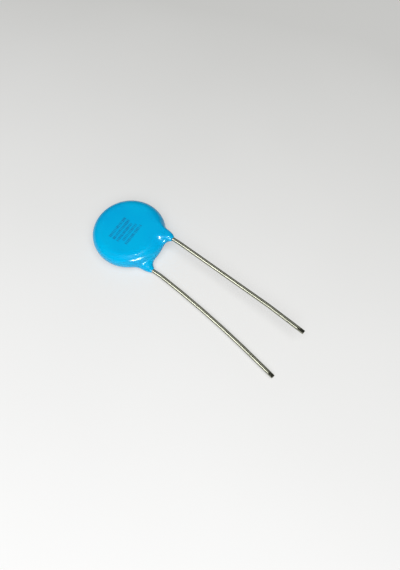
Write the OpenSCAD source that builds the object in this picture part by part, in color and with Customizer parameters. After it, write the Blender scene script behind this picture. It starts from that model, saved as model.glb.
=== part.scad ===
// Disc varistor of the 14 mm size: a zinc-oxide disc between two soldered wire leads,
// dipped in an epoxy coat that runs a little way down each lead.
// It lies on its back face: +Z points out of the front face and the leads run toward -Y.
// The origin is the centre of the back face.

/* [Ceramic disc] */
// Diameter of the zinc-oxide disc
disc_d = 14; // [13:0.1:16]
// Thickness of the zinc-oxide disc
disc_t = 1.9; // [1.4:0.1:3]
// Chamfer round both faces of the disc
disc_edge = 0.15; // [0.05:0.05:0.3]

/* [Electrodes] */
// Thickness of each fired silver layer
electrode_t = 0.05; // [0.02:0.01:0.1]
// Bare ring of ceramic left round each silver layer
electrode_margin = 0.7; // [0.4:0.1:1]

/* [Leads] */
// Wire diameter
lead_d = 0.8; // [0.6:0.05:1]
// Distance between the two wires where they leave the coat
lead_pitch = 7.2; // [6.4:0.1:8]
// Length of wire outside the coat, measured along it
lead_len = 32; // [20:0.5:40]
// Straight length between the coat and the first bend
lead_stub = 1.6; // [0.5:0.1:3]
// Straight length at the cut end, which goes through the board
lead_end = 8; // [4:0.5:10]
// Radius of the bends, to the middle of the wire
bend_r = 8; // [4:0.5:12]
// Front lead: sideways turn in degrees at the bend near the coat
front_turn = 2.9; // [1:0.1:6]
// Front lead: sideways turn in degrees at the bend before its end
front_end_turn = 2.2; // [1:0.1:6]
// Back lead: sideways turn in degrees at the bend near the coat
back_turn = 5; // [1:0.1:6]
// Back lead: sideways turn in degrees of the long bow between the two
back_bow_turn = 5.6; // [1:0.1:8]
// Back lead: slight bends that the bow is made of
back_bow_bends = 4; // [2:1:6]

/* [Solder] */
// Width of the solder bead on the silver
solder_w = 1.6; // [1.3:0.1:2]
// Width of the bead's crest, beside the wire
solder_crest = 1; // [0.9:0.05:1.2]
// Height of the bead above the silver
solder_h = 0.45; // [0.3:0.05:0.6]
// Silver left clear round the ends of the bead
solder_margin = 0.3; // [0.1:0.1:0.6]

/* [Coat] */
// Coat thickness over the disc's edge
coat_rim = 0.75; // [0.5:0.05:1.2]
// Coat thickness over each wire on the flat faces
coat_over_lead = 0.45; // [0.3:0.05:0.8]
// Rounding of the rim
rim_round = 2.1; // [1.6:0.05:2.2]
// Coat thickness round the front wire where its leg starts
leg_wall_front = 0.45; // [0.3:0.05:0.7]
// Coat thickness round the back wire where its leg starts
leg_wall_back = 0.35; // [0.3:0.05:0.7]
// Coat thickness round the wire at the leg's end
leg_lip = 0.08; // [0.05:0.01:0.15]
// How far a leg runs past the rim
leg_run = 2.15; // [1.5:0.05:3]
// Length over which a leg closes onto the wire at its end
leg_taper = 1; // [0.8:0.1:3.5]
// Fillet between the disc, the legs and the web
fillet = 1.6; // [0.6:0.1:1.8]
// Thickness of the web of coat that hangs between the two legs, before its fillets
web_t = 0.5; // [0.4:0.1:1]
// How far the web's middle lies inside the rim
web_set = 0.45; // [0.4:0.05:1]

/* [Hidden] */
$fn = 96;

electrode_r = disc_d / 2 - electrode_margin;
electrode_z = disc_t / 2 + electrode_t;
lead_r = lead_d / 2;
lead_x = lead_pitch / 2;
lead_z = electrode_z + lead_r;
// Half the length of wire that lies on the silver
seat_y = sqrt(pow(electrode_r - solder_margin - solder_w / 2, 2) - pow(lead_x, 2));

coat_r = disc_d / 2 + coat_rim;
half_t = lead_z + lead_r + coat_over_lead;
flat_r = coat_r - rim_round;
lip_r = lead_r + leg_lip;
leg_end = sqrt(pow(coat_r, 2) - pow(lead_x, 2)) + leg_run;
// Radius of the front leg, then of the back one
leg_r = [lead_r + leg_wall_front, lead_r + leg_wall_back];
// A bend's reach in degrees into the straight wire beside it, and how much thinner it is
bend_lap = 0.4;
bend_neck = 0.002;

// Mesh of the coat: columns round the disc, rows over its rim and rings down each leg.
// Each leg grows out of a square patch, foot columns wide and foot rows high.
foot = 9;
valley = 8;
away = 66;
columns = valley + 2 * foot + away;
rows = 16;
loop = 4 * foot;
root_rings = 4;
leg_rings = 10;
rings = root_rings + leg_rings;
// Angles from -Y at which the front leg's patch begins and ends
foot_in = asin((lead_x - max(leg_r) - fillet) / coat_r);
foot_out = asin((lead_x + max(leg_r) + fillet) / coat_r);
// Swing that keeps the columns in line with the leg from the rim to the flat face
swing = (asin(lead_x / flat_r) - asin(lead_x / coat_r)) * coat_r / lead_x;

function clamp(v, low, high) = min(max(v, low), high);

// The same point on the other side of the part, turned about Y
function turned(p) = [-p.x, p.y, -p.z];

// Distance of p outside a disc with a rounded rim, negative inside; z = 0 is its middle
function disc_gap(p) =
    let (out = norm([p.x, p.y]) - flat_r, up = abs(p.z) - half_t + rim_round)
    norm([max(out, 0), max(up, 0)]) + min(max(out, up), 0) - rim_round;

// Distance of p outside a leg of radius r, a sleeve round the front wire that thins to its lip
function leg_gap(p, r) =
    let (u = clamp(1 - (p.y + leg_end) / leg_taper, 0, 1))
    norm([p.x - lead_x, max(p.y + flat_r - r, 0), p.z - lead_z])
    - lip_r - (r - lip_r) * (1 - u * u);

// Distance of p outside the web, a round bar from one wire to the other
function web_gap(p) =
    let (front = [lead_x, 0, lead_z], q = p + [0, coat_r - web_set, 0],
         along = clamp(q * front / (front * front), -1, 1))
    norm(q - along * front) - web_t / 2;

// Two forms run together with a fillet
function blend(a, b) =
    let (near = max(1 - abs(a - b) / fillet, 0))
    min(a, b) - near * near * fillet / 4;

// The whole coat
function coat_gap(p) =
    blend(blend(disc_gap(p), web_gap(p)),
          min(leg_gap(p, leg_r[0]), leg_gap(turned(p), leg_r[1])));

function coat_slope(p, step = 0.0001) =
    [for (d = [[step, 0, 0], [0, step, 0], [0, 0, step]])
        (coat_gap(p + d) - coat_gap(p - d)) / (2 * step)];

// Moves p onto the coat's surface along its slope
function settle(p, turns) =
    turns == 0 ? p :
    let (slope = coat_slope(p))
    settle(p - slope * coat_gap(p) / (slope * slope), turns - 1);

// The two faces are flat, over the wires as well
function on_coat(p) =
    let (q = settle(p, 7))
    [q.x, q.y, clamp(q.z, -half_t, half_t)];

// Angle from -Y of column j at the rim: across the valley between the legs, over the
// front leg's patch, round the far side and over the back leg's patch
function column_turn(j) =
    j <= valley ? foot_in * (2 * j / valley - 1) :
    j <= valley + foot ? foot_in + (foot_out - foot_in) * (j - valley) / foot :
    j <= valley + foot + away ? foot_out + (360 - 2 * foot_out) * (j - valley - foot) / away :
    360 - foot_out + (foot_out - foot_in) * (j - valley - foot - away) / foot;

// Point of the rim's grid: row 0 is the edge of the front face, the last that of the back
function grid_point(i, j) =
    let (lift = 90 - 180 * i / rows,
         r = flat_r + rim_round * cos(lift),
         turn = column_turn(j),
         a = turn + swing * (coat_r - r) / rim_round * sin(turn))
    on_coat([r * sin(a), -r * cos(a), half_t * sin(lift)]);

grid = [for (i = [0 : rows], j = [0 : columns - 1]) grid_point(i, j)];
function grid_id(i, j) = i * columns + j % columns;

// Row and column of step k round the front leg's patch, from its inner top corner
function patch_step(k) =
    k < foot ? [0, valley + k] :
    k < 2 * foot ? [k - foot, valley + foot] :
    k < 3 * foot ? [foot, valley + 3 * foot - k] :
    [4 * foot - k, valley];

// Radius of the plain disc at height z
function disc_radius(z) =
    flat_r + sqrt(max(pow(rim_round, 2) - pow(max(abs(z) - half_t + rim_round, 0), 2), 0));

// Ring n of a leg: from the patch to the root of the leg, then on to the lip. The back
// leg's points are found where the front leg's would be, and turned.
function leg_point(back, n, k) =
    let (a = 135 - 360 * k / loop,
         patch = grid[leg_id(back, 0, k)],
         from = back ? turned(patch) : patch,
         side = [lead_x + leg_r[back] * cos(a), lead_z + leg_r[back] * sin(a)],
         root_y = -max(sqrt(max(pow(disc_radius(side[1]), 2) - pow(side[0], 2), 0)),
                       leg_end - 0.85 * (leg_end + from.y)),
         root = [side[0], root_y, side[1]],
         lip = [lead_x + lip_r * cos(a), -leg_end, lead_z + lip_r * sin(a)],
         start = n <= root_rings ? from + (root - from) * n / root_rings :
                 root + (lip - root) * (n - root_rings) / leg_rings)
    n == rings ? (back ? turned(lip) : lip) : on_coat(back ? turned(start) : start);

legs = [for (back = [0, 1], n = [1 : rings], k = [0 : loop - 1]) leg_point(back, n, k)];

// Vertex of ring n, step k of a leg; ring 0 is the patch itself
function leg_id(back, n, k) =
    let (step = patch_step(k % loop))
    n > 0 ? len(grid) + (back * rings + n - 1) * loop + k % loop :
    back == 0 ? grid_id(step[0], step[1]) :
    grid_id(rows - step[0], columns + valley - step[1]);

// Whether the cell below row i and after column j lies in a leg's patch
function in_patch(i, j) = i < foot && j >= valley && j < valley + foot
    || i >= rows - foot && j >= valley + foot + away;

coat_points = concat(grid, legs);

// The two triangles of a cell with corners a, b, c and d, split along its shorter diagonal
function cell(a, b, c, d) =
    norm(coat_points[a] - coat_points[c]) < norm(coat_points[b] - coat_points[d])
    ? [[a, b, c], [a, c, d]] : [[a, b, d], [b, c, d]];

coat_faces = [
    [for (j = [columns - 1 : -1 : 0]) grid_id(0, j)],
    [for (j = [0 : columns - 1]) grid_id(rows, j)],
    for (i = [0 : rows - 1], j = [0 : columns - 1]) if (!in_patch(i, j))
        each cell(grid_id(i, j), grid_id(i, j + 1), grid_id(i + 1, j + 1), grid_id(i + 1, j)),
    for (back = [0, 1], n = [0 : rings - 1], k = [0 : loop - 1])
        each cell(leg_id(back, n, k), leg_id(back, n, k + 1),
                  leg_id(back, n + 1, k + 1), leg_id(back, n + 1, k)),
    for (back = [0, 1]) [for (k = [0 : loop - 1]) leg_id(back, rings, k)]];

// Puts its children, drawn on the front side of the disc's middle, at the part's height
module front_side() {
    translate([0, 0, half_t]) children();
}

// The back side is the front side turned about the leads' direction
module back_side() {
    translate([0, 0, half_t]) rotate([0, 180, 0]) children();
}

// Straight wire that runs toward -Y
module straight_wire(length) {
    rotate([90, 0, 0]) cylinder(h = length, r = lead_r);
}

// Wire that runs toward -Y in steps of [straight length, turn in degrees at its end];
// a positive turn swings it toward +X. A bend is a hair thinner than the straight
// stretches and reaches a little into both, so that they join without tangent faces.
module wire(steps, i = 0) {
    turn = steps[i][1];
    side = turn < 0 ? -1 : 1;
    straight_wire(steps[i][0]);
    if (i < len(steps) - 1)
        translate([side * bend_r, -steps[i][0], 0]) {
            rotate([0, side < 0 ? 180 : 0, 180 - side * bend_lap])
                rotate_extrude(angle = abs(turn) + 2 * bend_lap)
                    translate([bend_r, 0]) circle(r = lead_r - bend_neck);
            rotate([0, 0, turn]) translate([-side * bend_r, 0, 0]) wire(steps, i + 1);
        }
}

// A lead from its inner end on the silver to its cut end: the straight stretch that the
// coat holds, the stub, and then the given steps, of which the last is the cut end
module lead(turn, steps) {
    translate([lead_x, seat_y, lead_z])
        wire([[seat_y + leg_end + lead_stub, turn], each steps]);
}

// Solder bead along the seated wire, with round ends, cut to the wire
module solder_bead() {
    section = [[0, 0], [solder_w / 2, 0], [solder_crest / 2, solder_h], [0, solder_h]];
    difference() {
        translate([lead_x, 0, electrode_z]) {
            for (turn = [0, 180]) rotate([0, 0, turn]) {
                translate([0, seat_y, 0]) rotate([90, 0, 0])
                    linear_extrude(height = 2 * seat_y) polygon(section);
                translate([0, seat_y, 0]) rotate_extrude(angle = 180) polygon(section);
            }
        }
        translate([lead_x, seat_y, lead_z]) straight_wire(seat_y + leg_end);
    }
}

module electrode() {
    translate([0, 0, disc_t / 2]) cylinder(h = electrode_t, r = electrode_r);
}

module ceramic_disc() {
    r = disc_d / 2;
    color("dimgray") front_side()
        rotate_extrude() polygon([
            [0, -disc_t / 2], [r - disc_edge, -disc_t / 2], [r, disc_edge - disc_t / 2],
            [r, disc_t / 2 - disc_edge], [r - disc_edge, disc_t / 2], [0, disc_t / 2]]);
}

module electrode_front() { color("silver") front_side() electrode(); }
module electrode_back() { color("silver") back_side() electrode(); }
module solder_front() { color("lightgray") front_side() solder_bead(); }
module solder_back() { color("lightgray") back_side() solder_bead(); }

// Length of wire that a bend takes
function bend_len(turn) = PI * bend_r * turn / 180;

// Straight wire left between the stub and the cut end, and its share for each bend of the bow
front_run = lead_len - lead_stub - lead_end - bend_len(front_turn + front_end_turn);
back_run = lead_len - lead_stub - lead_end - bend_len(back_turn + back_bow_turn);
bow_step = back_run / back_bow_bends;

module lead_front() {
    color("darkgray") front_side()
        lead(-front_turn, [[front_run, -front_end_turn], [lead_end, 0]]);
}

module lead_back() {
    bow = [for (i = [1 : back_bow_bends]) [bow_step, back_bow_turn / back_bow_bends]];
    color("darkgray") back_side() lead(back_turn, concat(bow, [[lead_end, 0]]));
}

// The dipped coat: a shell that fits everything inside it face to face
module coating() {
    color("deepskyblue") difference() {
        front_side() polyhedron(points = coat_points, faces = coat_faces);
        ceramic_disc();
        electrode_front();
        electrode_back();
        solder_front();
        solder_back();
        front_side() lead_bore();
        back_side() lead_bore();
    }
}

// The stretch of wire that the coat holds, and the start of the stub past its lip
module lead_bore() {
    translate([lead_x, seat_y, lead_z]) straight_wire(seat_y + leg_end + lead_stub);
}

coating();
ceramic_disc();
electrode_front();
electrode_back();
solder_front();
solder_back();
lead_front();
lead_back();
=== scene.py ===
# Disc varistor of the 14 mm size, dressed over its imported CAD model.
# The coat and both leads get finer meshes of their own, the parts inside keep theirs.
import math

import bpy
from mathutils import Matrix, Vector


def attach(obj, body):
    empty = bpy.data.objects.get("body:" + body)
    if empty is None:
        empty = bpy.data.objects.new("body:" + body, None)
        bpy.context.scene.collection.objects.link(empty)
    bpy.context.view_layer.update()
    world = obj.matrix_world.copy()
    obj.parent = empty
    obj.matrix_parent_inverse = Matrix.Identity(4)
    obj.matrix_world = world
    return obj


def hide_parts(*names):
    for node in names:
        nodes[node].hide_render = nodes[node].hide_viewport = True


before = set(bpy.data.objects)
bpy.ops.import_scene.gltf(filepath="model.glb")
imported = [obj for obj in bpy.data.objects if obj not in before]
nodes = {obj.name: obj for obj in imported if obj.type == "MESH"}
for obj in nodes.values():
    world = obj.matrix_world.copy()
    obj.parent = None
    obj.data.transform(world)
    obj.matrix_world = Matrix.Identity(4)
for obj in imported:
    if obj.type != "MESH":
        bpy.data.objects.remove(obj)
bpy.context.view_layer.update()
mm = 0.001
print("frame loaded:", ", ".join(sorted(nodes)))


def pickOnly(obj):
    if bpy.context.object and bpy.context.object.mode != "OBJECT":
        bpy.ops.object.mode_set(mode="OBJECT")
    bpy.ops.object.select_all(action="DESELECT")
    if obj is not None:
        obj.select_set(True)
        bpy.context.view_layer.objects.active = obj


def applyModifier(obj, kind, **settings):
    pickOnly(obj)
    modifier = obj.modifiers.new(kind.lower(), kind)
    for name, value in settings.items():
        setattr(modifier, name, value)
    bpy.ops.object.modifier_apply(modifier=modifier.name)


def placeInMesh(obj):
    pickOnly(obj)
    bpy.ops.object.transform_apply(location=True, rotation=True, scale=True)


view = {
    "place": (-27.123, -41.640, 80.619),  # mm
    "aim": (-1.084, -19.203, 2.250),
    "roll": 5.128,  # degrees
    "lens": 27.158,
}


def setCamera():
    bpy.ops.object.camera_add(location=Vector(view["place"]) * mm)
    camera = bpy.context.object
    camera.name = "table_camera"
    along = (Vector(view["aim"]) - Vector(view["place"])).normalized()
    turn = along.to_track_quat("-Z", "Y").to_matrix().to_4x4()
    roll = Matrix.Rotation(math.radians(-view["roll"]), 4, "Z")
    camera.rotation_euler = (turn @ roll).to_euler()
    camera.data.sensor_width = 36
    camera.data.lens = view["lens"]
    camera.data.clip_start = 0.002
    camera.data.clip_end = 20
    bpy.context.scene.camera = camera
    print("camera set")


setCamera()


def newGroup(name, takes, gives):
    group = bpy.data.node_groups.new(name, "ShaderNodeTree")
    for label, kind, value in takes:
        socket = group.interface.new_socket(name=label, in_out="INPUT", socket_type=kind)
        if value is not None:
            socket.default_value = value
    for label, kind in gives:
        group.interface.new_socket(name=label, in_out="OUTPUT", socket_type=kind)
    return group, group.nodes.new("NodeGroupInput"), group.nodes.new("NodeGroupOutput")


def addNode(tree, kind, values=None, **settings):
    node = tree.nodes.new(kind)
    for name, value in settings.items():
        setattr(node, name, value)
    for name, value in (values or {}).items():
        node.inputs[name].default_value = value
    return node


def addMath(tree, operation, first, second=None, third=None):
    node = tree.nodes.new("ShaderNodeMath")
    node.operation = operation
    for index, value in enumerate((first, second, third)):
        if value is None:
            continue
        if isinstance(value, (int, float)):
            node.inputs[index].default_value = value
        else:
            tree.links.new(value, node.inputs[index])
    return node.outputs[0]


def mottleGroup():  # slow drift between two values, as in a surface that cured unevenly
    group, start, end = newGroup(
        "slow_mottle",
        [("Vector", "NodeSocketVector", None), ("Scale", "NodeSocketFloat", 0.5),
         ("Detail", "NodeSocketFloat", 2.0), ("Low", "NodeSocketFloat", 0.0),
         ("High", "NodeSocketFloat", 1.0)],
        [("Value", "NodeSocketFloat")])
    noise = addNode(group, "ShaderNodeTexNoise")
    spread = addNode(group, "ShaderNodeMapRange", {"From Min": 0.3, "From Max": 0.7})
    link = group.links.new
    link(start.outputs["Vector"], noise.inputs["Vector"])
    link(start.outputs["Scale"], noise.inputs["Scale"])
    link(start.outputs["Detail"], noise.inputs["Detail"])
    link(noise.outputs["Fac"], spread.inputs["Value"])
    link(start.outputs["Low"], spread.inputs["To Min"])
    link(start.outputs["High"], spread.inputs["To Max"])
    link(spread.outputs["Result"], end.inputs["Value"])
    return group


def skinGroup():  # orange peel with a finer grain over it, as a height in mm
    group, start, end = newGroup(
        "peel_and_grain",
        [("Vector", "NodeSocketVector", None), ("Peel Scale", "NodeSocketFloat", 0.6),
         ("Peel", "NodeSocketFloat", 0.01), ("Grain Scale", "NodeSocketFloat", 12.0),
         ("Grain", "NodeSocketFloat", 0.001)],
        [("Height", "NodeSocketFloat")])
    peel = addNode(group, "ShaderNodeTexNoise", {"Detail": 1.0})
    grain = addNode(group, "ShaderNodeTexNoise", {"Detail": 2.0})
    link = group.links.new
    for noise, label in ((peel, "Peel Scale"), (grain, "Grain Scale")):
        link(start.outputs["Vector"], noise.inputs["Vector"])
        link(start.outputs[label], noise.inputs["Scale"])
    high = addMath(group, "MULTIPLY", peel.outputs["Fac"], start.outputs["Peel"])
    both = addMath(group, "MULTIPLY_ADD", grain.outputs["Fac"], start.outputs["Grain"], high)
    link(both, end.inputs["Height"])
    return group


def speckGroup():  # small round specks scattered at random, 1 inside a speck
    group, start, end = newGroup(
        "specks",
        [("Vector", "NodeSocketVector", None), ("Scale", "NodeSocketFloat", 1.0),
         ("Size", "NodeSocketFloat", 0.06), ("Share", "NodeSocketFloat", 0.3)],
        [("Mask", "NodeSocketFloat")])
    cells = addNode(group, "ShaderNodeTexVoronoi", {"Randomness": 1.0})
    link = group.links.new
    link(start.outputs["Vector"], cells.inputs["Vector"])
    link(start.outputs["Scale"], cells.inputs["Scale"])
    near = addMath(group, "LESS_THAN", cells.outputs["Distance"], start.outputs["Size"])
    pick = addNode(group, "ShaderNodeSeparateColor")
    link(cells.outputs["Color"], pick.inputs["Color"])
    kept = addMath(group, "LESS_THAN", pick.outputs["Red"], start.outputs["Share"])
    link(addMath(group, "MULTIPLY", near, kept), end.inputs["Mask"])
    return group


mottle, peelAndGrain, specks = mottleGroup(), skinGroup(), speckGroup()


def newMaterial(name, base, roughness, metallic=0.0):
    material = bpy.data.materials.new(name)
    material.use_nodes = True
    material.diffuse_color = (*base, 1)
    tree = material.node_tree
    shader = tree.nodes["Principled BSDF"]
    shader.inputs["Base Color"].default_value = (*base, 1)
    shader.inputs["Roughness"].default_value = roughness
    shader.inputs["Metallic"].default_value = metallic
    return material, tree, shader


def inMillimetres(tree, turn=0.0, centre=(0, 0, 0)):
    place = addNode(tree, "ShaderNodeTexCoord")
    size = addNode(tree, "ShaderNodeMapping", {"Scale": (1000, 1000, 1000)})
    tree.links.new(place.outputs["Object"], size.inputs["Vector"])
    if turn or any(centre):
        move = addNode(tree, "ShaderNodeMapping", {
            "Location": centre, "Rotation": (0, 0, math.radians(turn))}, vector_type="TEXTURE")
        tree.links.new(size.outputs["Vector"], move.inputs["Vector"])
        return move.outputs["Vector"]
    return size.outputs["Vector"]


def useGroup(tree, group, vector, **values):
    node = addNode(tree, "ShaderNodeGroup", node_tree=group)
    tree.links.new(vector, node.inputs["Vector"])
    for name, value in values.items():
        node.inputs[name].default_value = value
    return node


def mixColours(tree, share, first, second):
    mix = addNode(tree, "ShaderNodeMix", data_type="RGBA")
    for value, socket in ((share, mix.inputs[0]), (first, mix.inputs[6]), (second, mix.inputs[7])):
        if isinstance(value, float):
            socket.default_value = value
        elif isinstance(value, tuple):
            socket.default_value = (*value, 1)
        else:
            tree.links.new(value, socket)
    return mix.outputs[2]


def bumpFrom(tree, height):
    bump = addNode(tree, "ShaderNodeBump", {"Strength": 1.0, "Distance": mm})
    tree.links.new(height, bump.inputs["Height"])
    return bump.outputs["Normal"]


coat = {
    "grid": 0.12,  # mm, squares of the finished skin
    "smoothing": 24,
    "keep": 0.9998,  # in height, so that the skin stays between its two flat faces
    "blue": (0.0, 0.445, 0.770),
    "deepBlue": (0.0, 0.335, 0.700),
    "ink": (0.01, 0.175, 0.40),
    "inkStrength": 1.0,
    "gloss": 0.18,
    "printAbove": 4.3,  # mm, the print lies on the upper flat face only
}


walls = {  # mm, just outside the walls that hold the disc, the beads and the wires
    "middle": 2.25,  # height of the disc's middle
    "discRadius": 7.05,
    "discUp": 1.02,
    "beadHalfWidth": 0.86,
    "beadHalfLength": 4.7,
    "beadUp": 1.6,
    "wireAside": 3.6,
    "wireUp": 1.4,
    "wireRadius": 0.42,
    "legEnd": -9.02,
}


def insideCoat(point):
    x, y, z = point / mm
    up = abs(z - walls["middle"])
    aside = x - walls["wireAside"] * (1 if z > walls["middle"] else -1)
    onDisc = math.hypot(x, y) < walls["discRadius"] and up < walls["discUp"]
    onBead = (abs(aside) < walls["beadHalfWidth"] and abs(y) < walls["beadHalfLength"]
              and up < walls["beadUp"])
    onWire = math.hypot(aside, up - walls["wireUp"]) < walls["wireRadius"] and y > walls["legEnd"]
    return onDisc or onBead or onWire


def dipCoat():
    skin = bpy.data.objects.new("dipped_coat", nodes["coating"].data.copy())
    bpy.context.scene.collection.objects.link(skin)
    pickOnly(skin)
    bpy.ops.object.mode_set(mode="EDIT")
    bpy.ops.mesh.select_all(action="SELECT")
    bpy.ops.mesh.remove_doubles(threshold=0.0005 * mm)
    bpy.ops.mesh.select_all(action="DESELECT")
    bpy.ops.mesh.select_mode(type="FACE")
    bpy.ops.object.mode_set(mode="OBJECT")
    for face in skin.data.polygons:
        face.select = insideCoat(face.center)
    bpy.ops.object.mode_set(mode="EDIT")
    bpy.ops.mesh.delete(type="FACE")
    bpy.ops.mesh.select_all(action="SELECT")
    bpy.ops.mesh.fill_holes(sides=0)
    bpy.ops.mesh.select_all(action="SELECT")
    bpy.ops.mesh.normals_make_consistent(inside=False)
    bpy.ops.object.mode_set(mode="OBJECT")
    applyModifier(skin, "REMESH", mode="VOXEL", voxel_size=coat["grid"] * mm)
    applyModifier(skin, "SMOOTH", factor=0.5, iterations=coat["smoothing"])
    pickOnly(skin)
    bpy.ops.object.mode_set(mode="EDIT")
    bpy.ops.mesh.select_all(action="SELECT")
    bpy.ops.transform.resize(value=(1, 1, coat["keep"]), center_override=(0, 0, walls["middle"] * mm))
    bpy.ops.object.mode_set(mode="OBJECT")
    bpy.ops.object.shade_smooth()
    return skin


marks = {
    "centre": (-1.0, -0.1),  # mm, middle of the printed block
    "turn": 3.0,  # degrees, run of the rows
    "rowStep": 0.95,
    "barHeight": 0.66,
    "barStep": 0.36,
    "thinnest": 0.16,  # half a bar's share of its step
    "thicker": 0.26,  # most that chance adds to that
    "rows": ((-7, 7), (-7, 7), (-7, 6), (-5, 7), (-6, 8)),  # first and last bar, from the top row
}


def printMarks(tree, vector):  # rows of plain ink bars, 1 where there is ink
    apart = addNode(tree, "ShaderNodeSeparateXYZ")
    tree.links.new(vector, apart.inputs["Vector"])
    count = len(marks["rows"])
    rowPlace = addMath(tree, "DIVIDE", apart.outputs["Y"], marks["rowStep"])
    rowPlace = addMath(tree, "ADD", rowPlace, count / 2)
    row, inRow = addMath(tree, "FLOOR", rowPlace), addMath(tree, "FRACT", rowPlace)
    barPlace = addMath(tree, "DIVIDE", apart.outputs["X"], marks["barStep"])
    barPlace = addMath(tree, "ADD", barPlace, 0.5)
    bar, inBar = addMath(tree, "FLOOR", barPlace), addMath(tree, "FRACT", barPlace)
    cell = addNode(tree, "ShaderNodeCombineXYZ")
    tree.links.new(bar, cell.inputs["X"])
    tree.links.new(row, cell.inputs["Y"])
    chance = addNode(tree, "ShaderNodeTexWhiteNoise", noise_dimensions="2D")
    tree.links.new(cell.outputs["Vector"], chance.inputs["Vector"])
    width = addMath(tree, "MULTIPLY_ADD", chance.outputs["Value"], marks["thicker"], marks["thinnest"])
    tall = addMath(tree, "COMPARE", inRow, 0.5, marks["barHeight"] / marks["rowStep"] / 2)
    off = addMath(tree, "ABSOLUTE", addMath(tree, "SUBTRACT", inBar, 0.5))
    ink = addMath(tree, "MULTIPLY", tall, addMath(tree, "LESS_THAN", off, width))
    allowed = None
    for index, (first, last) in enumerate(marks["rows"]):
        here = addMath(tree, "COMPARE", row, float(count - 1 - index), 0.25)
        reach = addMath(tree, "COMPARE", bar, (first + last) / 2, (last - first) / 2 + 0.25)
        both = addMath(tree, "MULTIPLY", here, reach)
        allowed = both if allowed is None else addMath(tree, "MAXIMUM", allowed, both)
    return addMath(tree, "MULTIPLY", ink, allowed)


def epoxyMaterial():
    material, tree, shader = newMaterial("blue_epoxy", coat["blue"], coat["gloss"])
    place = inMillimetres(tree)
    drift = useGroup(tree, mottle, place, Scale=0.16, Detail=1.0, Low=0.0, High=0.55)
    colour = mixColours(tree, drift.outputs["Value"], coat["blue"], coat["deepBlue"])
    block = inMillimetres(tree, turn=marks["turn"], centre=(*marks["centre"], 0))
    ink = printMarks(tree, block)
    topOnly = addNode(tree, "ShaderNodeSeparateXYZ")
    tree.links.new(place, topOnly.inputs["Vector"])
    ink = addMath(tree, "MULTIPLY", ink, addMath(tree, "GREATER_THAN", topOnly.outputs["Z"],
                                             coat["printAbove"]))
    worn = useGroup(tree, mottle, place, Scale=2.2, Detail=3.0, Low=0.6, High=1.0)
    ink = addMath(tree, "MULTIPLY", ink, worn.outputs["Value"])
    ink = addMath(tree, "MULTIPLY", ink, coat["inkStrength"])
    colour = mixColours(tree, ink, colour, coat["ink"])
    tree.links.new(colour, shader.inputs["Base Color"])
    dull = useGroup(tree, mottle, place, Scale=0.9, Detail=3.0,
                    Low=coat["gloss"] - 0.01, High=coat["gloss"] + 0.03)
    tree.links.new(dull.outputs["Value"], shader.inputs["Roughness"])
    skin = useGroup(tree, peelAndGrain, place, **{
        "Peel Scale": 0.45, "Peel": 0.006, "Grain Scale": 6.0, "Grain": 0.0001})
    tree.links.new(bumpFrom(tree, skin.outputs["Height"]), shader.inputs["Normal"])
    shader.inputs["IOR"].default_value = 1.5
    shader.inputs["Specular IOR Level"].default_value = 0.2
    return material


dippedCoat = dipCoat()
dippedCoat.data.materials.clear()
dippedCoat.data.materials.append(epoxyMaterial())
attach(dippedCoat, "root")
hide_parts("coating")
print("coat done:", len(dippedCoat.data.polygons), "faces")


wire = {
    "radius": 0.4,  # mm
    "sides": 40,
    "bendRadius": 8.0,
    "hidden": 14.365,  # from the inner end to the first bend
    "middle": 22.4,  # from there to the cut end's stretch
    "cutEnd": 8.0,
    "cut": 1.5,  # length of the rings along a straight stretch
    "chamfer": 0.05,
    "skin": 0.04,  # tin seen as a ring on the cut end
    "tin": (0.64, 0.65, 0.52),
    "dull": (0.46, 0.475, 0.37),
    "edge": (0.15, 0.155, 0.115),  # painted shade: the tin is painted darker where it is seen nearly along its surface
    "copper": (0.42, 0.20, 0.11),
    "gloss": 0.13,
    "dullGloss": 0.08,  # added where the tin is dull
    "lineDepth": 0.0004,
    "pitDepth": 0.0005,
    "coreRadius": 0.33,  # bare copper on the cut face
}
bendLength = math.pi * wire["bendRadius"] / 180  # mm of wire in each degree of bend
# each lead: where it starts, and its stretches as (straight mm, bend in degrees after it)
frontLead = {"name": "wire_front", "node": "lead_front", "start": (3.6, 3.752, 3.65),
             "steps": [(wire["hidden"], 2.9), (wire["middle"] - bendLength * 5.1, 2.2),
                       (wire["cutEnd"], 0)]}
backRun = (wire["middle"] - bendLength * 10.6) / 4
backLead = {"name": "wire_back", "node": "lead_back", "start": (-3.6, 3.752, 0.85),
            "steps": [(wire["hidden"], 5.0)] + [(backRun, 1.4)] * 4 + [(wire["cutEnd"], 0)]}


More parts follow.
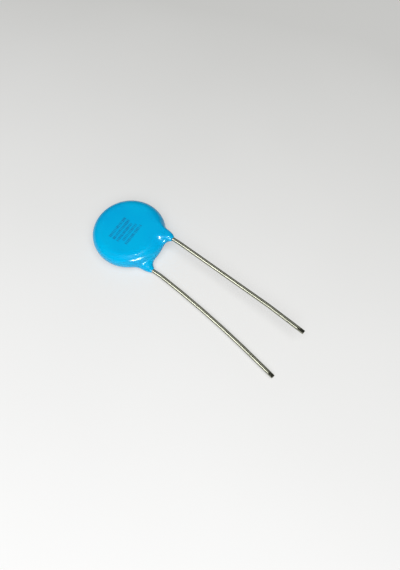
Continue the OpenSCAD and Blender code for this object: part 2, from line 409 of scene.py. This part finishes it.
def drawLead(lead):
    start = Vector(lead["start"]) * mm
    pickOnly(None)
    bpy.ops.mesh.primitive_circle_add(vertices=wire["sides"], radius=wire["radius"] * mm,
                                      location=start, rotation=(math.pi / 2, 0, 0))
    tube = bpy.context.object
    tube.name = lead["name"]
    placeInMesh(tube)
    bpy.ops.object.mode_set(mode="EDIT")
    bpy.ops.mesh.select_mode(type="EDGE")
    bpy.ops.mesh.select_all(action="SELECT")
    point, heading = start.copy(), Vector((0, -1, 0))
    for straight, bend in lead["steps"]:
        last = bend == 0
        length = straight - (wire["chamfer"] if last else 0)
        pieces = max(1, round(length / wire["cut"]))
        for _ in range(pieces):
            move = heading * length * mm / pieces
            bpy.ops.mesh.extrude_region_move(TRANSFORM_OT_translate={"value": move})
            point += move
        if last:
            continue
        side = Vector((heading.y, -heading.x, 0))  # towards -X for a wire that runs to -Y
        centre = point + side * wire["bendRadius"] * mm
        bpy.ops.mesh.spin(steps=max(2, round(bend * 2)), angle=math.radians(bend),
                          center=centre, axis=(0, 0, 1))
        swing = Matrix.Rotation(math.radians(-bend), 3, "Z")
        point = centre + swing @ (point - centre)
        heading = swing @ heading
    # cut end: a chamfer, then the cut face with its ring of tin
    bpy.ops.mesh.extrude_region_move(TRANSFORM_OT_translate={"value": heading * wire["chamfer"] * mm})
    point += heading * wire["chamfer"] * mm
    shrink = 1 - wire["chamfer"] * 0.6 / wire["radius"]
    bpy.ops.transform.resize(value=(shrink, shrink, shrink), center_override=point)
    bpy.ops.mesh.edge_face_add()
    bpy.ops.mesh.select_mode(type="FACE")
    bpy.ops.mesh.inset(thickness=wire["skin"] * mm)
    bpy.ops.mesh.poke()
    # inner end, seated in the solder
    bpy.ops.mesh.select_all(action="SELECT")
    bpy.ops.mesh.fill_holes(sides=0)
    bpy.ops.mesh.select_all(action="SELECT")
    bpy.ops.mesh.normals_make_consistent(inside=False)
    bpy.ops.object.mode_set(mode="OBJECT")
    bpy.ops.object.shade_smooth_by_angle(angle=math.radians(35))
    return tube, point / mm, heading


def wireMaterial(name, tip, heading):
    material, tree, shader = newMaterial(name, wire["tin"], wire["gloss"], metallic=1.0)
    lean = math.degrees(math.atan2(heading.x, -heading.y))
    place = inMillimetres(tree)
    run = inMillimetres(tree, turn=lean, centre=tuple(tip))
    stretch = addNode(tree, "ShaderNodeMapping", {"Scale": (9.0, 0.28, 9.0)})
    tree.links.new(run, stretch.inputs["Vector"])
    lines = useGroup(tree, mottle, stretch.outputs["Vector"], Scale=1.0, Detail=3.0, Low=0.0, High=1.0)
    cloud = useGroup(tree, mottle, place, Scale=0.7, Detail=2.0, Low=0.0, High=0.8)
    dulled = addMath(tree, "MULTIPLY", lines.outputs["Value"], cloud.outputs["Value"])
    colour = mixColours(tree, dulled, wire["tin"], wire["dull"])
    # painted shade: the tin's colour turns darker towards the wire's outline as seen from the camera
    edgeShadeWeight = addNode(tree, "ShaderNodeLayerWeight", {"Blend": 0.5})
    along = addNode(tree, "ShaderNodeMapRange", {"From Min": 0.10, "From Max": 0.50})
    tree.links.new(edgeShadeWeight.outputs["Facing"], along.inputs["Value"])
    colour = mixColours(tree, along.outputs["Result"], colour, wire["edge"])
    # painted shade: this dark tint also darkens the wire's reflection near its outline
    shader.inputs["Specular Tint"].default_value = (0.4, 0.4, 0.34, 1)
    # bare core on the cut face
    apart = addNode(tree, "ShaderNodeSeparateXYZ")
    tree.links.new(run, apart.inputs["Vector"])
    across = addMath(tree, "POWER", apart.outputs["X"], 2.0)
    across = addMath(tree, "ADD", across, addMath(tree, "POWER", apart.outputs["Z"], 2.0))
    core = addMath(tree, "LESS_THAN", across, wire["coreRadius"] ** 2)
    face = addMath(tree, "LESS_THAN", apart.outputs["Y"], 0.01)
    colour = mixColours(tree, addMath(tree, "MULTIPLY", core, face), colour, wire["copper"])
    tree.links.new(colour, shader.inputs["Base Color"])
    rough = addMath(tree, "MULTIPLY_ADD", dulled, wire["dullGloss"], wire["gloss"])
    tree.links.new(rough, shader.inputs["Roughness"])
    height = addMath(tree, "MULTIPLY", lines.outputs["Value"], wire["lineDepth"])
    pits = useGroup(tree, specks, place, Scale=2.2, Size=0.12, Share=0.35)
    height = addMath(tree, "MULTIPLY_ADD", pits.outputs["Mask"], -wire["pitDepth"], height)
    tree.links.new(bumpFrom(tree, height), shader.inputs["Normal"])
    return material


wires = []
for lead in (frontLead, backLead):
    tube, tip, heading = drawLead(lead)
    wires.append(tube)
    tube.data.materials.clear()
    tube.data.materials.append(wireMaterial("tinned_" + lead["name"], tip, heading))
    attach(tube, "root")
    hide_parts(lead["node"])
    print("lead done:", lead["name"], "ends at", [round(v, 2) for v in tip])


inner = {
    "ceramic": (0.045, 0.048, 0.046),
    "ceramicPale": (0.085, 0.088, 0.080),
    "silver": (0.66, 0.64, 0.60),
    "silverDull": (0.42, 0.40, 0.36),
    "solder": (0.62, 0.62, 0.61),
    "solderDull": (0.36, 0.37, 0.38),
}


def ceramicMaterial():  # dark sintered grain with pores, with painted shade inside the pores
    material, tree, shader = newMaterial("zinc_oxide", inner["ceramic"], 0.62)
    place = inMillimetres(tree)
    grain = useGroup(tree, mottle, place, Scale=6.0, Detail=4.0, Low=0.0, High=1.0)
    colour = mixColours(tree, grain.outputs["Value"], inner["ceramic"], inner["ceramicPale"])
    pores = useGroup(tree, specks, place, Scale=3.5, Size=0.14, Share=0.4)
    # painted shade: the pores are painted nearly black
    colour = mixColours(tree, pores.outputs["Mask"], colour, (0.015, 0.015, 0.015))
    tree.links.new(colour, shader.inputs["Base Color"])
    skin = useGroup(tree, peelAndGrain, place, **{
        "Peel Scale": 1.5, "Peel": 0.006, "Grain Scale": 14.0, "Grain": 0.008})
    height = addMath(tree, "MULTIPLY_ADD", pores.outputs["Mask"], -0.03, skin.outputs["Height"])
    tree.links.new(bumpFrom(tree, height), shader.inputs["Normal"])
    return material


def metalMaterial(name, bright, dull, gloss, grainScale, depth):
    material, tree, shader = newMaterial(name, bright, gloss, metallic=1.0)
    place = inMillimetres(tree)
    patch = useGroup(tree, mottle, place, Scale=grainScale, Detail=4.0, Low=0.0, High=1.0)
    tree.links.new(mixColours(tree, patch.outputs["Value"], bright, dull), shader.inputs["Base Color"])
    rough = addMath(tree, "MULTIPLY_ADD", patch.outputs["Value"], 0.2, gloss)
    tree.links.new(rough, shader.inputs["Roughness"])
    skin = useGroup(tree, peelAndGrain, place, **{
        "Peel Scale": grainScale * 0.6, "Peel": depth, "Grain Scale": 18.0, "Grain": depth / 4})
    tree.links.new(bumpFrom(tree, skin.outputs["Height"]), shader.inputs["Normal"])
    return material


firedSilver = metalMaterial("fired_silver", inner["silver"], inner["silverDull"], 0.38, 2.5, 0.008)
softSolder = metalMaterial("soft_solder", inner["solder"], inner["solderDull"], 0.22, 0.9, 0.03)
finishes = {
    "ceramic_disc": ceramicMaterial(),
    "electrode_front": firedSilver, "electrode_back": firedSilver,
    "solder_front": softSolder, "solder_back": softSolder,
}
for name, material in finishes.items():
    if not nodes[name].material_slots:
        nodes[name].data.materials.append(material)
    for place in nodes[name].material_slots:
        place.material = material
print("inner parts finished")


# table, lamps and room
room = {
    "tableSize": 1.4,  # m
    "near": (0.955, 0.955, 0.95),  # painted light: table colour on the side towards the window
    "far": (0.62, 0.62, 0.605),
    "window": -168,  # degrees from +X to the side where the table is painted brighter
    "reach": (-75, 62),  # mm towards the window where the painted light on the table starts and ends
    "glow": 0.5,  # share of the table's own shade that needs no lamp
    "air": (0.04, 0.04, 0.04),
}
# each lamp: degrees from +X and above the table, mm away from what it looks at, mm across,
# brightness of its face, what it lights, and whether it shows in gloss
lamps = {
    "key": {"azimuth": -140, "height": 60, "away": 190, "wide": 120, "tall": 120, "bright": 8.7,
            "aim": (0, -5, 2), "lights": "part", "mirrored": False},
    "far_fill": {"azimuth": 60, "height": 45, "away": 400, "wide": 300, "tall": 300, "bright": 0.35,
                 "aim": (0, -5, 2), "lights": "part", "mirrored": False},
    "side_fill": {"azimuth": 160, "height": 40, "away": 400, "wide": 300, "tall": 300, "bright": 0.7,
                  "aim": (0, -5, 2), "lights": "part", "mirrored": False},
    "rim_strip": {"azimuth": -130, "height": 13, "away": 300, "wide": 160, "tall": 56, "bright": 80,
                  "aim": (0, -5, 2), "lights": "coat", "mirrored": True, "shades": False},
    "pen_light": {"azimuth": -143, "height": 70, "away": 40, "beam": 14, "across": 6,
                  "bright": 600, "aim": (2.4, -7.2, 4.3), "lights": "coat", "mirrored": True,
                  "shades": False},
    "wire_strip": {"azimuth": 158, "height": 36, "away": 400, "wide": 260, "tall": 150, "bright": 3.3,
                   "aim": (0, -25, 2), "lights": "wires", "mirrored": True},
    "wire_glow": {"azimuth": 30, "height": 55, "away": 400, "wide": 500, "tall": 500, "bright": 0.25,
                  "aim": (0, -25, 2), "lights": "wires", "mirrored": True},
    "table_light": {"azimuth": -130, "height": 66, "away": 450, "wide": 500, "tall": 500,
                    "bright": 3.7, "aim": (0, -15, 0), "lights": "table", "mirrored": False},
}


def tableMaterial():  # paper-white top that keeps soft shadows; its colour holds painted light, brighter towards the window side
    material, tree, shader = newMaterial("pale_table", room["near"], 0.7)
    place = inMillimetres(tree)
    along = addNode(tree, "ShaderNodeSeparateXYZ")
    tree.links.new(inMillimetres(tree, turn=room["window"]), along.inputs["Vector"])
    patch = useGroup(tree, mottle, place, Scale=0.02, Detail=2.0, Low=-4.0, High=4.0)
    # painted light: the table's colour runs from the far shade to the near light towards the window
    paintedLightSlope = addNode(tree, "ShaderNodeMapRange", {
        "From Min": room["reach"][0], "From Max": room["reach"][1]})
    tree.links.new(addMath(tree, "ADD", along.outputs["X"], patch.outputs["Value"]),
                   paintedLightSlope.inputs["Value"])
    shade = mixColours(tree, paintedLightSlope.outputs["Result"], room["far"], room["near"])
    tree.links.new(shade, shader.inputs["Base Color"])
    skin = useGroup(tree, peelAndGrain, place, **{
        "Peel Scale": 0.3, "Peel": 0.01, "Grain Scale": 4.0, "Grain": 0.002})
    tree.links.new(bumpFrom(tree, skin.outputs["Height"]), shader.inputs["Normal"])
    shader.inputs["Specular IOR Level"].default_value = 0.0
    rays = addNode(tree, "ShaderNodeLightPath")
    seen = addMath(tree, "MAXIMUM", rays.outputs["Is Camera Ray"], rays.outputs["Is Glossy Ray"])
    seen = addMath(tree, "MAXIMUM", seen, rays.outputs["Is Transmission Ray"])
    share = addMath(tree, "MULTIPLY", seen, room["glow"])
    own = addNode(tree, "ShaderNodeEmission", {"Strength": 1.0})
    tree.links.new(shade, own.inputs["Color"])
    mix = addNode(tree, "ShaderNodeMixShader")
    tree.links.new(share, mix.inputs[0])
    tree.links.new(shader.outputs[0], mix.inputs[1])
    tree.links.new(own.outputs[0], mix.inputs[2])
    tree.links.new(mix.outputs[0], tree.nodes["Material Output"].inputs["Surface"])
    return material


def addLamp(name, lamp, lit):
    turn, height = math.radians(lamp["azimuth"]), math.radians(lamp["height"])
    toLamp = Vector((math.cos(turn) * math.cos(height), math.sin(turn) * math.cos(height),
                     math.sin(height)))
    place = (Vector(lamp["aim"]) + toLamp * lamp["away"]) * mm
    bpy.ops.object.light_add(type="SPOT" if "beam" in lamp else "AREA", location=place)
    light = bpy.context.object
    light.name = name
    if "beam" in lamp:
        light.data.spot_size = math.radians(lamp["beam"])
        light.data.spot_blend = 1.0
        light.data.shadow_soft_size = lamp["across"] / 2 * mm
        light.data.energy = lamp["bright"] * (math.pi * lamp["across"] * mm) ** 2
    else:
        light.data.shape = "ELLIPSE" if lamp["mirrored"] else "RECTANGLE"
        light.data.size, light.data.size_y = lamp["wide"] * mm, lamp["tall"] * mm
        light.data.energy = lamp["bright"] * math.pi * light.data.size * light.data.size_y
    light.rotation_euler = (-toLamp).to_track_quat("-Z", "Y").to_euler()
    light.visible_camera = False
    light.visible_glossy = lamp["mirrored"]
    light.visible_diffuse = lamp.get("shades", True)
    light.light_linking.receiver_collection = lit[lamp["lights"]]


def setRoom():
    pickOnly(None)
    bpy.ops.mesh.primitive_plane_add(size=room["tableSize"], location=(0, 0, -0.00002))
    table = bpy.context.object
    table.name = "table_top"
    table.data.materials.append(tableMaterial())
    groups = {"table": [table], "coat": [dippedCoat], "wires": wires,
              "part": [dippedCoat] + wires + [nodes[name] for name in finishes]}
    lit = {}
    for name, members in groups.items():
        lit[name] = bpy.data.collections.new("lit_" + name)
        for member in members:
            lit[name].objects.link(member)
    for name, lamp in lamps.items():
        addLamp(name, lamp, lit)
    world = bpy.data.worlds.new("room")
    world.use_nodes = True
    world.node_tree.nodes["Background"].inputs["Color"].default_value = (*room["air"], 1)
    world.node_tree.nodes["Background"].inputs["Strength"].default_value = 1.0
    bpy.context.scene.world = world
    bpy.context.scene.view_settings.view_transform = "Standard"
    print("room set")


setRoom()
